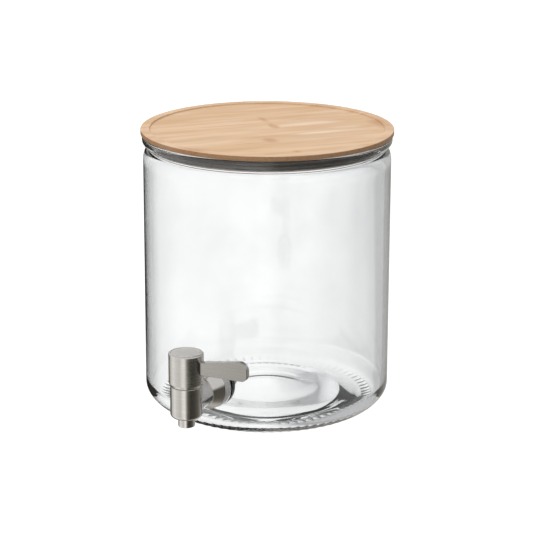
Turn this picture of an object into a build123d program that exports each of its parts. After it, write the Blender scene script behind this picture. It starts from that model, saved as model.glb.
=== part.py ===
from build123d import *
import os
from math import cos, radians, sin, sqrt, tan

# Countertop detergent dispenser: a round glass jar with a bamboo lid and a quarter-turn tap.
# Millimetres. The origin is the jar's axis on the resting plane, +Z is up, the tap points
# along -Y and its closed lever points along +X.

# ---- Glass jar ----
JAR_R = 90.0                 # outside of the straight wall
WALL = 4.0                   # thickness of the straight wall
FOOT_OUTER_R = 55.0          # bearing ring that touches the table
FOOT_INNER_R = 50.0
PUSH_UP = 8.0                # height of the hollow under the middle of the base
HEEL_HEIGHT = 19.5           # height at which the rounded heel meets the wall
FLOOR_CENTRE_Z = 20.0        # inside floor in the middle
FLOOR_EDGE_R = 73.0          # where the inside floor turns up into the wall
FLOOR_EDGE_Z = 9.6
SHOULDER_Z = 187.5           # where the wall turns in towards the neck
NECK_R = 86.3                # outside of the groove under the rim
NECK_LOW_Z = 196.0
NECK_HIGH_Z = 198.8
NECK_NOTCH = 0.8             # how far the groove is scooped below the neck's radius
BEAD_WIDE_Z = 202.9          # where the rim bead reaches its full width
RIM_ROUND = 2.6
LIP_ROUND = 1.6
INNER_SHOULDER_Z = 185.0
INNER_HEEL_Z = 23.0          # where the straight inside wall ends above the floor
RIM_R = 90.7                 # outside of the rim bead
RIM_TOP_Z = 206.8
MOUTH_R = 82.0               # clear radius of the mouth
TAP_HOLE_R = 8.6

# ---- Bamboo lid ----
LID_R = 91.7
LID_THICK = 3.65
LID_GAP = 0.05               # air between the lid's underside and the rim
LID_TOP_Z = RIM_TOP_Z + LID_GAP + LID_THICK
LID_EDGE_ROUND = 0.5
RECESS_R = 85.2              # shallow recess turned into the top
RECESS_DEPTH = 1.2
PLUG_R = 79.4                # step that drops into the mouth
PLUG_BOTTOM_Z = 199.2
SEAL_GROOVE_R = 76.6
SEAL_GROOVE_LOW_Z = 200.9
SEAL_GROOVE_HIGH_Z = 205.3
SEAL_FIN_R = 81.6            # free edge of the seal's soft fins
SEAL_FIN_THICK = 0.7

# ---- Tap, fixed half ----
SHANK_Z = 43.0               # height of the hole in the wall
BARREL_OFFSET = 131.0        # jar axis to barrel axis
BARREL_R = 11.2
BARREL_BOTTOM_Z = 32.0
BARREL_FOOT_ROUND = 3.0
SEAM_Z = 55.0                # top shoulder of the fixed barrel
SPIGOT_R = 9.55              # tube that stands up inside the turning cap
SPIGOT_TOP_Z = 66.0
NECK_TUBE_R = 10.9
COLLAR_EDGE_R = 12.6
COLLAR_EDGE_D = 107.4        # distances D are measured from the jar axis along the tap
COLLAR_BASE_R = 15.0
COLLAR_BASE_D = 102.4
COLLAR_BACK_D = 101.7
FLANGE_FRONT_R = 14.7
FLANGE_BACK_R = 16.0
FLANGE_BACK_D = 93.3
OUTER_WASHER_R = 16.7
INNER_WASHER_R = 13.0
INNER_WASHER_D = 82.4
NUT_WASHER_R = 12.6
NUT_WASHER_D = 81.2
NUT_ACROSS_FLATS = 22.0
NUT_BACK_D = 75.2
SHANK_CREST_R = 8.0
SHANK_ROOT_R = 7.45
SHANK_BORE_R = 4.5
SHANK_END_D = 71.6
SHANK_HEAD_D = 112.0
THREAD_PITCH = 1.5
THREAD_TURNS = 18
SOCKET_END_D = 113.4         # bottom of the socket that takes the shank
SLIP = 0.1                   # radial slip of washers on the shank
WALL_SLIP = 0.03             # film between a washer and the curved glass

# ---- Outlet nozzle ----
NOZZLE_R = 5.8
NOZZLE_BOTTOM_Z = 25.3
NOZZLE_THREAD_R = 5.0
NOZZLE_BORE_R = 4.2
NOZZLE_LIP_ROUND = 0.5

# ---- Valve inside the barrel ----
CAVITY_FLOOR_Z = 36.5
LINER_R = 8.4
LINER_BORE_R = 6.45
LINER_FLOOR = 1.2
LINER_TOP_Z = 56.8
PORT_R = 3.6
PORT_SEAL_R = 5.6
PORT_SEAL_FRONT = 9.6        # distance of the seal's back face from the barrel axis
ROTOR_R = 6.4
ROTOR_TOP_Z = 56.9
ROTOR_BORE_R = 4.0
ROTOR_BORE_TOP_Z = 47.5
ROTOR_SHOULDER_R = 7.9
ROTOR_SHOULDER_TOP_Z = 59.0
STEM_R = 5.0
STEM_TOP_Z = 66.4
DRIVE_SIDE = 6.8
DRIVE_TOP_Z = 73.0
RING_SEAL_Z = (50.4, 53.6)   # heights of the two rings on the rotor
RING_SEAL_GROOVE_R = 5.3
RING_SEAL_WIRE_R = 0.56
RETAINER_LOW_Z = 60.0
RETAINER_HIGH_Z = 63.0
RETAINER_R = 8.6
RETAINER_BORE_R = 5.35
THRUST_WASHER_R = 8.3
THRUST_WASHER_LOW_Z = 59.1
THRUST_WASHER_HIGH_Z = 60.0
STOP_PIN_R = 0.9
STOP_PIN_ORBIT = 7.3
STOP_PIN_ANGLE = 135.0       # degrees about the barrel axis
STOP_PIN_TOP_Z = 69.6

# ---- Turning cap and lever ----
CAP_R = 12.2
CAP_LOW_Z = 55.4
CAP_TOP_Z = 79.0
CAP_TOP_ROUND = 1.2
CAP_SKIRT_CHAMFER = 1.0
CAP_SKIRT_CHAMFER_HEIGHT = 2.0
CAP_CAVITY_R = 10.0
CAP_CAVITY_TOP_Z = 66.5
CAP_RECESS_R = 10.6
DISC_THICK = 1.0
QUARTER_TURN = 90.0
STOP_SLOT_HALF = 1.25
STOP_SLOT_TOP_Z = 70.4
SCREW_SEAT_Z = 75.0
SCREW_POCKET_R = 3.7
SCREW_R = 1.6
SCREW_HEAD_R = 3.0
SCREW_HEAD_HEIGHT = 1.8
SCREW_TIP_Z = 65.0
SCREW_WASHER_R = 3.5
SCREW_WASHER_THICK = 0.6
HEX_KEY_FLATS = 2.5
HEX_KEY_DEPTH = 1.1
LEVER_TIP = 47.2             # barrel axis to the lever's tip
LEVER_THICK = 4.3
LEVER_LOW_Z = 64.4
LEVER_ROOT_TOP_Z = 73.7
LEVER_RISE = 9.0             # slope of the upper edge, degrees
LEVER_TOP_CORNER = 6.5
LEVER_LOW_CORNER = 4.5
LEVER_EDGE_ROUND = 0.6
TANG_THICK = 3.0
TANG_LOW_Z = 67.4
TANG_TOP_Z = 72.6
TANG_INNER = 6.9
SET_SCREW_R = 1.1
SET_SCREW_X = 9.0
SET_SCREW_LOW_Z = 71.2
SET_SCREW_TOP_Z = 76.4


def turned(outline, rounds=None):
    """Revolve a closed outline of (radius, height) points; rounds gives radii by point number."""
    rounds = rounds or {}
    radii = [rounds.get(index, 0) for index in range(len(outline))]
    border = FilletPolyline(*outline, radius=radii, close=True)
    return revolve(Plane.XZ * make_face(border), Axis.Z)


def ring(outer_r, inner_r, low, high):
    """A plain round washer or tube between two heights."""
    return turned([(inner_r, low), (outer_r, low), (outer_r, high), (inner_r, high)])


def rod(radius, low, high):
    """A round bar on the Z axis between two heights."""
    return Pos(0, 0, (low + high) / 2) * Cylinder(radius, high - low)


def along_tap(solid):
    """Turn a solid whose +Z is the distance D from the jar axis so that it lies along the tap."""
    return Pos(0, 0, SHANK_Z) * Rot(90, 0, 0) * solid


def at_barrel(solid):
    """Move a solid made on the Z axis to the tap's barrel."""
    return Pos(0, -BARREL_OFFSET, 0) * solid


def dome(top_z, edge_r, edge_z):
    """Arc from the axis to an edge, centred on the axis, so that its turned face is a ball's."""
    rise = top_z - edge_z
    ball_r = (edge_r**2 + rise**2) / (2 * rise)
    half = edge_r / 2
    half_z = top_z - ball_r + sqrt(ball_r**2 - half**2)
    return ThreePointArc((0, top_z), (half, half_z), (edge_r, edge_z))


def glass_jar():
    """Jar with a pushed-up base, domed floor, rounded heel, groove, rim bead and the tap's hole."""
    inner_r = JAR_R - WALL
    heel_width = JAR_R - FOOT_OUTER_R
    outside = [
        dome(PUSH_UP, FOOT_INNER_R, 0),
        Line((FOOT_INNER_R, 0), (FOOT_OUTER_R, 0)),
        EllipticalCenterArc((FOOT_OUTER_R, HEEL_HEIGHT), heel_width, HEEL_HEIGHT, 270,
                            arc_size=90),
        Line((JAR_R, HEEL_HEIGHT), (JAR_R, SHOULDER_Z)),
        EllipticalCenterArc((NECK_R, SHOULDER_Z), JAR_R - NECK_R, NECK_LOW_Z - SHOULDER_Z, 0,
                            arc_size=90),
        ThreePointArc((NECK_R, NECK_LOW_Z), (NECK_R - NECK_NOTCH, (NECK_LOW_Z + NECK_HIGH_Z) / 2),
                      (NECK_R, NECK_HIGH_Z)),
        EllipticalCenterArc((NECK_R, BEAD_WIDE_Z), RIM_R - NECK_R, BEAD_WIDE_Z - NECK_HIGH_Z, 270,
                            arc_size=90),
        Line((RIM_R, BEAD_WIDE_Z), (RIM_R, RIM_TOP_Z - RIM_ROUND)),
        CenterArc((RIM_R - RIM_ROUND, RIM_TOP_Z - RIM_ROUND), RIM_ROUND, 0, 90),
        Line((RIM_R - RIM_ROUND, RIM_TOP_Z), (MOUTH_R + LIP_ROUND, RIM_TOP_Z)),
        CenterArc((MOUTH_R + LIP_ROUND, RIM_TOP_Z - LIP_ROUND), LIP_ROUND, 90, 90),
    ]
    inside = [
        Line((MOUTH_R, RIM_TOP_Z - LIP_ROUND), (MOUTH_R, NECK_LOW_Z)),
        EllipticalCenterArc((MOUTH_R, INNER_SHOULDER_Z), inner_r - MOUTH_R,
                            NECK_LOW_Z - INNER_SHOULDER_Z, 90, arc_size=-90),
        Line((inner_r, INNER_SHOULDER_Z), (inner_r, INNER_HEEL_Z)),
        EllipticalCenterArc((FLOOR_EDGE_R, INNER_HEEL_Z), inner_r - FLOOR_EDGE_R,
                            INNER_HEEL_Z - FLOOR_EDGE_Z, 0, arc_size=-90),
        dome(FLOOR_CENTRE_Z, FLOOR_EDGE_R, FLOOR_EDGE_Z),
        Line((0, FLOOR_CENTRE_Z), (0, PUSH_UP)),
    ]
    body = revolve(Plane.XZ * make_face(outside + inside), Axis.Z)
    return body - along_tap(rod(TAP_HOLE_R, JAR_R - WALL * 3, JAR_R + WALL * 2))


def bamboo_lid():
    """Round board with a shallow recess on top and a stepped plug with a groove for the seal."""
    board_low = RIM_TOP_Z + LID_GAP
    recess_z = LID_TOP_Z - RECESS_DEPTH
    outline = [
        (0, PLUG_BOTTOM_Z),
        (PLUG_R, PLUG_BOTTOM_Z),
        (PLUG_R, SEAL_GROOVE_LOW_Z),
        (SEAL_GROOVE_R, SEAL_GROOVE_LOW_Z),
        (SEAL_GROOVE_R, SEAL_GROOVE_HIGH_Z),
        (PLUG_R, SEAL_GROOVE_HIGH_Z),
        (PLUG_R, board_low),
        (LID_R, board_low),
        (LID_R, LID_TOP_Z),
        (RECESS_R, LID_TOP_Z),
        (RECESS_R - 0.4, recess_z),
        (0, recess_z),
    ]
    rounds = {1: 0.8, 7: LID_EDGE_ROUND, 8: LID_EDGE_ROUND, 9: 0.3, 10: 0.3}
    return turned(outline, rounds)


def lid_seal():
    """Soft ring that fills the plug's groove, with three fins that reach for the mouth."""
    low = SEAL_GROOVE_LOW_Z
    high = SEAL_GROOVE_HIGH_Z
    band_r = PLUG_R + 0.2
    pitch = (high - low - SEAL_FIN_THICK) / 2
    outline = [(SEAL_GROOVE_R, low)]
    for number in range(3):
        fin_low = low + number * pitch
        outline.append((SEAL_FIN_R, fin_low))
        outline.append((SEAL_FIN_R, fin_low + SEAL_FIN_THICK))
        if number < 2:
            outline.append((band_r, fin_low + SEAL_FIN_THICK))
            outline.append((band_r, fin_low + pitch))
    outline.append((SEAL_GROOVE_R, high))
    return turned(outline)


def tap_body():
    """Barrel, horizontal neck and collar in one casting, hollowed for the valve and the shank."""
    barrel = turned([
        (0, BARREL_BOTTOM_Z),
        (BARREL_R, BARREL_BOTTOM_Z),
        (BARREL_R, SEAM_Z),
        (SPIGOT_R, SEAM_Z),
        (SPIGOT_R, SPIGOT_TOP_Z),
        (0, SPIGOT_TOP_Z),
    ], {1: BARREL_FOOT_ROUND, 2: 0.4, 4: 0.5})
    neck = turned([
        (0, COLLAR_BACK_D),
        (COLLAR_BASE_R - 0.4, COLLAR_BACK_D),
        (COLLAR_BASE_R, COLLAR_BASE_D),
        (COLLAR_EDGE_R, COLLAR_EDGE_D),
        (NECK_TUBE_R, COLLAR_EDGE_D + 3.6),
        (NECK_TUBE_R, BARREL_OFFSET),
        (0, BARREL_OFFSET),
    ], {2: 0.3, 3: 0.35, 4: 4.0})
    casting = at_barrel(barrel) + along_tap(neck)
    casting -= at_barrel(rod(LINER_R, CAVITY_FLOOR_Z, LINER_TOP_Z))
    casting -= at_barrel(rod(RETAINER_R, LINER_TOP_Z, SPIGOT_TOP_Z + 1))
    casting -= at_barrel(rod(NOZZLE_THREAD_R, BARREL_BOTTOM_Z - 1, CAVITY_FLOOR_Z + 0.1))
    casting -= along_tap(rod(SHANK_CREST_R, COLLAR_BACK_D - 1, SOCKET_END_D))
    casting -= along_tap(rod(SHANK_BORE_R, SOCKET_END_D - 1, BARREL_OFFSET - LINER_BORE_R))
    casting -= along_tap(rod(PORT_SEAL_R, BARREL_OFFSET - PORT_SEAL_FRONT,
                             BARREL_OFFSET - LINER_BORE_R))
    return casting


def flange_ring():
    """Bell-shaped ring that covers the washer against the glass."""
    bore = SHANK_CREST_R + SLIP
    outline = [
        (bore, FLANGE_BACK_D),
        (FLANGE_BACK_R - 0.3, FLANGE_BACK_D),
        (FLANGE_BACK_R, FLANGE_BACK_D + 0.8),
        (FLANGE_FRONT_R + 0.5, COLLAR_BACK_D - 0.9),
        (FLANGE_FRONT_R, COLLAR_BACK_D),
        (bore, COLLAR_BACK_D),
    ]
    return along_tap(turned(outline, {2: 0.5, 3: 0.5}))


def outer_washer():
    """Clear soft washer outside the wall, hollowed to the curve of the glass."""
    blank = turned([
        (SHANK_CREST_R + SLIP, JAR_R - WALL),
        (OUTER_WASHER_R, JAR_R - WALL),
        (OUTER_WASHER_R, FLANGE_BACK_D),
        (SHANK_CREST_R + SLIP, FLANGE_BACK_D),
    ], {2: 0.9})
    return along_tap(blank) - rod(JAR_R + WALL_SLIP, 0, SHANK_Z * 2)


def inner_washer():
    """Soft washer inside the wall, domed to the curve of the glass."""
    blank = ring(INNER_WASHER_R, SHANK_CREST_R + SLIP, INNER_WASHER_D, JAR_R)
    return along_tap(blank) & rod(JAR_R - WALL - WALL_SLIP, 0, SHANK_Z * 2)


def nut_washer():
    """Flat slip washer between the lock nut and the soft washer."""
    return along_tap(ring(NUT_WASHER_R, SHANK_CREST_R + SLIP, NUT_WASHER_D, INNER_WASHER_D))


def lock_nut():
    """Hexagon nut with chamfered corners that clamps the tap to the wall."""
    height = NUT_WASHER_D - NUT_BACK_D
    middle = (NUT_WASHER_D + NUT_BACK_D) / 2
    corner_r = NUT_ACROSS_FLATS / 2 / cos(radians(30))
    prism = extrude(RegularPolygon(corner_r, 6), height)
    lens = turned([
        (0, 0),
        (corner_r - 1.2, 0),
        (corner_r + 0.2, 0.9),
        (corner_r + 0.2, height - 0.9),
        (corner_r - 1.2, height),
        (0, height),
    ])
    bored = (prism & lens) - rod(SHANK_CREST_R, -1, height + 1)
    return along_tap(Pos(0, 0, middle - height / 2) * bored)


def threaded_shank():
    """Threaded tube that carries the liquid through the wall; its ridges stand for the thread."""
    outline = [(SHANK_BORE_R, SHANK_END_D)]
    start = SHANK_END_D + 0.6
    outline.append((SHANK_ROOT_R, SHANK_END_D))
    for turn in range(THREAD_TURNS):
        low = start + turn * THREAD_PITCH
        outline.append((SHANK_ROOT_R, low))
        outline.append((SHANK_CREST_R, low + THREAD_PITCH * 0.4))
        outline.append((SHANK_CREST_R, low + THREAD_PITCH * 0.6))
    outline.append((SHANK_ROOT_R, start + THREAD_TURNS * THREAD_PITCH))
    outline.append((SHANK_CREST_R, start + THREAD_TURNS * THREAD_PITCH + 0.6))
    outline.append((SHANK_CREST_R, SHANK_HEAD_D))
    outline.append((SHANK_BORE_R, SHANK_HEAD_D))
    return along_tap(turned(outline))


def shank_gasket():
    """Flat ring squeezed between the shank's end and the bottom of its socket."""
    return along_tap(ring(SHANK_CREST_R - 0.3, SHANK_BORE_R + 0.4, SHANK_HEAD_D, SOCKET_END_D))


def outlet_nozzle():
    """Spout tube screwed into the underside of the barrel."""
    outline = [
        (NOZZLE_BORE_R, NOZZLE_BOTTOM_Z),
        (NOZZLE_R, NOZZLE_BOTTOM_Z),
        (NOZZLE_R, BARREL_BOTTOM_Z),
        (NOZZLE_THREAD_R, BARREL_BOTTOM_Z),
        (NOZZLE_THREAD_R, CAVITY_FLOOR_Z),
        (NOZZLE_BORE_R, CAVITY_FLOOR_Z),
    ]
    return at_barrel(turned(outline, {0: 0.2, 1: NOZZLE_LIP_ROUND}))


def valve_liner():
    """Plastic sleeve in the barrel that the rotor turns in, with a side port and a floor."""
    sleeve = turned([
        (ROTOR_BORE_R, CAVITY_FLOOR_Z),
        (LINER_R, CAVITY_FLOOR_Z),
        (LINER_R, LINER_TOP_Z),
        (LINER_BORE_R, LINER_TOP_Z),
        (LINER_BORE_R, CAVITY_FLOOR_Z + LINER_FLOOR),
        (ROTOR_BORE_R, CAVITY_FLOOR_Z + LINER_FLOOR),
    ])
    port = along_tap(rod(PORT_R, BARREL_OFFSET - LINER_R - 1, BARREL_OFFSET - ROTOR_BORE_R))
    return at_barrel(sleeve) - port


def port_seal():
    """Soft grommet between the liner's side port and the neck's channel."""
    blank = along_tap(ring(PORT_SEAL_R, PORT_R + 0.2, BARREL_OFFSET - PORT_SEAL_FRONT,
                           BARREL_OFFSET - LINER_BORE_R))
    return blank - at_barrel(rod(LINER_R, 0, SEAM_Z))


def valve_rotor():
    """Turning plug: bored from below, ported towards -X when closed, with a square drive on top."""
    bottom = CAVITY_FLOOR_Z + LINER_FLOOR + 0.1
    outline = [
        (ROTOR_BORE_R, bottom),
        (ROTOR_R, bottom),
    ]
    for height in RING_SEAL_Z:
        half = RING_SEAL_WIRE_R + 0.04
        outline.append((ROTOR_R, height - half))
        outline.append((RING_SEAL_GROOVE_R, height - half))
        outline.append((RING_SEAL_GROOVE_R, height + half))
        outline.append((ROTOR_R, height + half))
    outline += [
        (ROTOR_R, ROTOR_TOP_Z),
        (ROTOR_SHOULDER_R, ROTOR_TOP_Z),
        (ROTOR_SHOULDER_R, ROTOR_SHOULDER_TOP_Z),
        (STEM_R, ROTOR_SHOULDER_TOP_Z),
        (STEM_R, STEM_TOP_Z),
        (0, STEM_TOP_Z),
        (0, ROTOR_BORE_TOP_Z),
        (ROTOR_BORE_R, ROTOR_BORE_TOP_Z),
    ]
    drive_height = DRIVE_TOP_Z - STEM_TOP_Z
    drive = Pos(0, 0, STEM_TOP_Z + drive_height / 2) * Box(DRIVE_SIDE, DRIVE_SIDE, drive_height)
    port = Pos(-ROTOR_R / 2, 0, SHANK_Z) * Rot(0, 90, 0) * Cylinder(PORT_R, ROTOR_R * 2)
    port &= Pos(-ROTOR_R, 0, SHANK_Z) * Box(ROTOR_R * 2, ROTOR_R * 2, ROTOR_R * 2)
    rotor = turned(outline) + drive - port - rod(SCREW_R, SCREW_TIP_Z, DRIVE_TOP_Z + 1)
    return at_barrel(rotor)


def stem_ring_seals():
    """Two round rings in the rotor's grooves that keep liquid from climbing the stem."""
    seals = []
    for height in RING_SEAL_Z:
        centre_r = RING_SEAL_GROOVE_R + RING_SEAL_WIRE_R
        seals.append(at_barrel(Pos(0, 0, height) * Torus(centre_r, RING_SEAL_WIRE_R)))
    return Compound(children=seals)


def retaining_ring():
    """Threaded ring in the spigot that holds the rotor down, drilled for the stop pin."""
    angle = radians(STOP_PIN_ANGLE)
    hole = Pos(STOP_PIN_ORBIT * cos(angle), STOP_PIN_ORBIT * sin(angle), 0)
    body = ring(RETAINER_R, RETAINER_BORE_R, RETAINER_LOW_Z, RETAINER_HIGH_Z)
    return at_barrel(body - hole * rod(STOP_PIN_R, RETAINER_LOW_Z - 1, RETAINER_HIGH_Z + 1))


def thrust_washer():
    """Slip washer between the rotor's shoulder and the retaining ring."""
    return at_barrel(ring(THRUST_WASHER_R, RETAINER_BORE_R, THRUST_WASHER_LOW_Z,
                          THRUST_WASHER_HIGH_Z))


def stop_pin():
    """Upright pin in the retaining ring that ends the cap's quarter turn both ways."""
    angle = radians(STOP_PIN_ANGLE)
    place = Pos(STOP_PIN_ORBIT * cos(angle), STOP_PIN_ORBIT * sin(angle), 0)
    pin = rod(STOP_PIN_R, RETAINER_LOW_Z + 0.2, STOP_PIN_TOP_Z)
    return at_barrel(place * chamfer(pin.edges().group_by(Axis.Z)[-1], 0.25))


def stop_slot():
    """Quarter-circle channel in the cap's underside that the stop pin runs in."""
    outer = STOP_PIN_ORBIT + STOP_SLOT_HALF
    inner = STOP_PIN_ORBIT - STOP_SLOT_HALF
    low = CAP_CAVITY_TOP_Z - 0.5
    profile = Pos((outer + inner) / 2, 0, (low + STOP_SLOT_TOP_Z) / 2) * (
        Plane.XZ * Rectangle(outer - inner, STOP_SLOT_TOP_Z - low))
    channel = Rot(0, 0, STOP_PIN_ANGLE) * revolve(profile, Axis.Z, QUARTER_TURN)
    for turn in (0, QUARTER_TURN):
        angle = radians(STOP_PIN_ANGLE + turn)
        place = Pos(STOP_PIN_ORBIT * cos(angle), STOP_PIN_ORBIT * sin(angle), 0)
        channel += place * rod(STOP_SLOT_HALF, low, STOP_SLOT_TOP_Z)
    return channel


def tang_slot(slip):
    """Block that the lever's tang fills in the side of the cap."""
    length = CAP_R + 1 - TANG_INNER
    height = TANG_TOP_Z - TANG_LOW_Z
    middle = Pos(TANG_INNER + length / 2, 0, (TANG_LOW_Z + TANG_TOP_Z) / 2)
    return middle * Box(length + 2 * slip, TANG_THICK + 2 * slip, height + 2 * slip)


def turning_cap():
    """Round cap over the spigot, with sockets for the stem, screw, lever tang and top disc."""
    shell = turned([
        (0, CAP_CAVITY_TOP_Z),
        (CAP_CAVITY_R, CAP_CAVITY_TOP_Z),
        (CAP_CAVITY_R, CAP_LOW_Z),
        (CAP_R - CAP_SKIRT_CHAMFER, CAP_LOW_Z),
        (CAP_R, CAP_LOW_Z + CAP_SKIRT_CHAMFER_HEIGHT),
        (CAP_R, CAP_TOP_Z),
        (CAP_RECESS_R, CAP_TOP_Z),
        (CAP_RECESS_R, CAP_TOP_Z - DISC_THICK),
        (0, CAP_TOP_Z - DISC_THICK),
    ], {4: 0.5, 5: CAP_TOP_ROUND, 6: 0.15})
    socket_low = CAP_CAVITY_TOP_Z - 1
    socket_high = DRIVE_TOP_Z + 0.3
    side = DRIVE_SIDE + 0.04
    socket = Pos(0, 0, (socket_low + socket_high) / 2) * Box(side, side, socket_high - socket_low)
    shell -= socket
    shell -= rod(SCREW_R + 0.15, socket_high - 1, SCREW_SEAT_Z + 1)
    shell -= rod(SCREW_POCKET_R, SCREW_SEAT_Z, CAP_TOP_Z)
    shell -= stop_slot()
    shell -= tang_slot(0.02)
    shell -= Pos(SET_SCREW_X, 0, 0) * rod(SET_SCREW_R, SET_SCREW_LOW_Z, CAP_TOP_Z)
    return at_barrel(shell)


def cap_disc():
    """Thin cover disc let into the cap's top over the screws."""
    top = CAP_TOP_Z - 0.1
    disc = turned([
        (0, CAP_TOP_Z - DISC_THICK),
        (CAP_RECESS_R - 0.08, CAP_TOP_Z - DISC_THICK),
        (CAP_RECESS_R - 0.08, top),
        (0, top),
    ], {2: 0.2})
    return at_barrel(disc)


def lever():
    """Flat upright blade with a rising top edge, and a tang that enters the cap."""
    tip_top_z = LEVER_ROOT_TOP_Z + (LEVER_TIP - CAP_R) * tan(radians(LEVER_RISE))
    root_drop = CAP_R * 0.5 * tan(radians(LEVER_RISE))
    border = FilletPolyline(
        (CAP_R * 0.5, LEVER_LOW_Z),
        (LEVER_TIP, LEVER_LOW_Z),
        (LEVER_TIP, tip_top_z),
        (CAP_R * 0.5, LEVER_ROOT_TOP_Z - root_drop),
        radius=[0, LEVER_LOW_CORNER, LEVER_TOP_CORNER, 0],
        close=True,
    )
    blade = extrude(Plane.XZ * make_face(border), LEVER_THICK / 2, both=True)
    faces = blade.faces().group_by(Axis.Y)
    blade = fillet(faces[0].edges() + faces[-1].edges(), LEVER_EDGE_ROUND)
    blade -= rod(CAP_R, LEVER_LOW_Z - 1, CAP_TOP_Z + 5)
    notch = Pos(SET_SCREW_X, 0, 0) * rod(SET_SCREW_R, SET_SCREW_LOW_Z, CAP_TOP_Z)
    return at_barrel(blade + tang_slot(0) - notch)


def lever_set_screw():
    """Headless screw that pins the lever's tang in the cap."""
    body = rod(SET_SCREW_R, SET_SCREW_LOW_Z, SET_SCREW_TOP_Z)
    key = Pos(0, 0, SET_SCREW_TOP_Z - 0.8) * extrude(RegularPolygon(0.65, 6), 1)
    return at_barrel(Pos(SET_SCREW_X, 0, 0) * (body - key))


def screw_washer():
    """Flat washer under the cap screw's head."""
    return at_barrel(ring(SCREW_WASHER_R, SCREW_R + 0.1, SCREW_SEAT_Z,
                          SCREW_SEAT_Z + SCREW_WASHER_THICK))


def cap_screw():
    """Socket-head screw that ties the cap to the rotor's stem."""
    seat = SCREW_SEAT_Z + SCREW_WASHER_THICK
    top = seat + SCREW_HEAD_HEIGHT
    body = turned([
        (0, SCREW_TIP_Z),
        (SCREW_R, SCREW_TIP_Z),
        (SCREW_R, seat),
        (SCREW_HEAD_R, seat),
        (SCREW_HEAD_R, top),
        (0, top),
    ], {1: 0.3, 4: 0.4})
    corner_r = HEX_KEY_FLATS / 2 / cos(radians(30))
    key = Pos(0, 0, top - HEX_KEY_DEPTH) * extrude(RegularPolygon(corner_r, 6), HEX_KEY_DEPTH + 1)
    return at_barrel(body - key)


PARTS = {
    "glass_jar": glass_jar,
    "bamboo_lid": bamboo_lid,
    "lid_seal": lid_seal,
    "tap_body": tap_body,
    "flange_ring": flange_ring,
    "outer_washer": outer_washer,
    "inner_washer": inner_washer,
    "nut_washer": nut_washer,
    "lock_nut": lock_nut,
    "threaded_shank": threaded_shank,
    "shank_gasket": shank_gasket,
    "outlet_nozzle": outlet_nozzle,
    "valve_liner": valve_liner,
    "port_seal": port_seal,
    "thrust_washer": thrust_washer,
    "retaining_ring": retaining_ring,
    "stop_pin": stop_pin,
    "valve_rotor": valve_rotor,
    "stem_ring_seals": stem_ring_seals,
    "turning_cap": turning_cap,
    "cap_disc": cap_disc,
    "cap_screw": cap_screw,
    "screw_washer": screw_washer,
    "lever": lever,
    "lever_set_screw": lever_set_screw,
}

os.makedirs("parts", exist_ok=True)
for name, make in PARTS.items():
    export_step(make(), f"parts/{name}.step")
    print("wrote", name)
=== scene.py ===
import logging
import math
from dataclasses import dataclass
from enum import Enum

import bmesh
import bpy
from mathutils import Matrix, Vector, noise


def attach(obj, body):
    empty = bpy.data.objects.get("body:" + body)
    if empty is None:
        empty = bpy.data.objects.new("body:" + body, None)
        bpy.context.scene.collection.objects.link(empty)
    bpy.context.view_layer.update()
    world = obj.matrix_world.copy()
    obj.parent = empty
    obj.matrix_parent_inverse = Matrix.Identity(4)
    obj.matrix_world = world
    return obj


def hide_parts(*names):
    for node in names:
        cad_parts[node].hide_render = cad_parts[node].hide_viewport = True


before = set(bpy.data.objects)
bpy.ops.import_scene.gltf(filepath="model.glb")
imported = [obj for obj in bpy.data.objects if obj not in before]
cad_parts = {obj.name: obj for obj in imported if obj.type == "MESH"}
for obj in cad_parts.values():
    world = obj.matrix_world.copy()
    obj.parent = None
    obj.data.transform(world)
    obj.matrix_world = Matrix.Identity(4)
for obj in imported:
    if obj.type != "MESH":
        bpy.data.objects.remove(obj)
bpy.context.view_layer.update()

Point = tuple[float, float]
Triple = tuple[float, float, float]
Colour = Triple
Spot = tuple[float, float, float, float]

MM = 0.001
LOG = logging.getLogger("dispenser")


class Body(str, Enum):
    """The CAD bodies that new pieces ride on."""

    JAR = "jar"
    LID = "lid"


class Slot(str, Enum):
    """The record's material slots that new pieces use."""

    GLASS = "clear_glass"
    BAMBOO = "bamboo"
    SILICONE = "clear_silicone"


class Brush(Enum):
    """How the fine lines of a metal finish run."""

    AROUND_BARREL = "around_barrel"
    AROUND_SHANK = "around_shank"
    ALONG_LEVER = "along_lever"


# ---- outlines and meshes


def arc(centre: Point, radii: Point, start: float, end: float, steps: int) -> list[Point]:
    """Points along an elliptical arc between two angles in degrees, both ends included."""
    angles = [math.radians(start + (end - start) * i / steps) for i in range(steps + 1)]
    return [
        (centre[0] + radii[0] * math.cos(angle), centre[1] + radii[1] * math.sin(angle))
        for angle in angles
    ]


def straight(start: Point, end: Point, steps: int) -> list[Point]:
    """Points that divide a line into stretches, with neither end included."""
    return [
        (start[0] + (end[0] - start[0]) * i / steps, start[1] + (end[1] - start[1]) * i / steps)
        for i in range(1, steps)
    ]


def eased(start: Point, end: Point, steps: int, level: float = 0.55) -> list[Point]:
    """Points of an S-shaped slope.

    Args:
        start: first end.
        end: last end.
        steps: number of stretches.
        level: 0 for a straight slope, 1 for one that is level at both ends.

    Returns:
        steps points, the last end left out.
    """
    points = []
    for i in range(steps):
        share = i / steps
        drop = share - level * math.sin(2 * math.pi * share) / (2 * math.pi)
        place = start[0] + (end[0] - start[0]) * share
        points.append((place, start[1] + (end[1] - start[1]) * drop))
    return points


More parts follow.
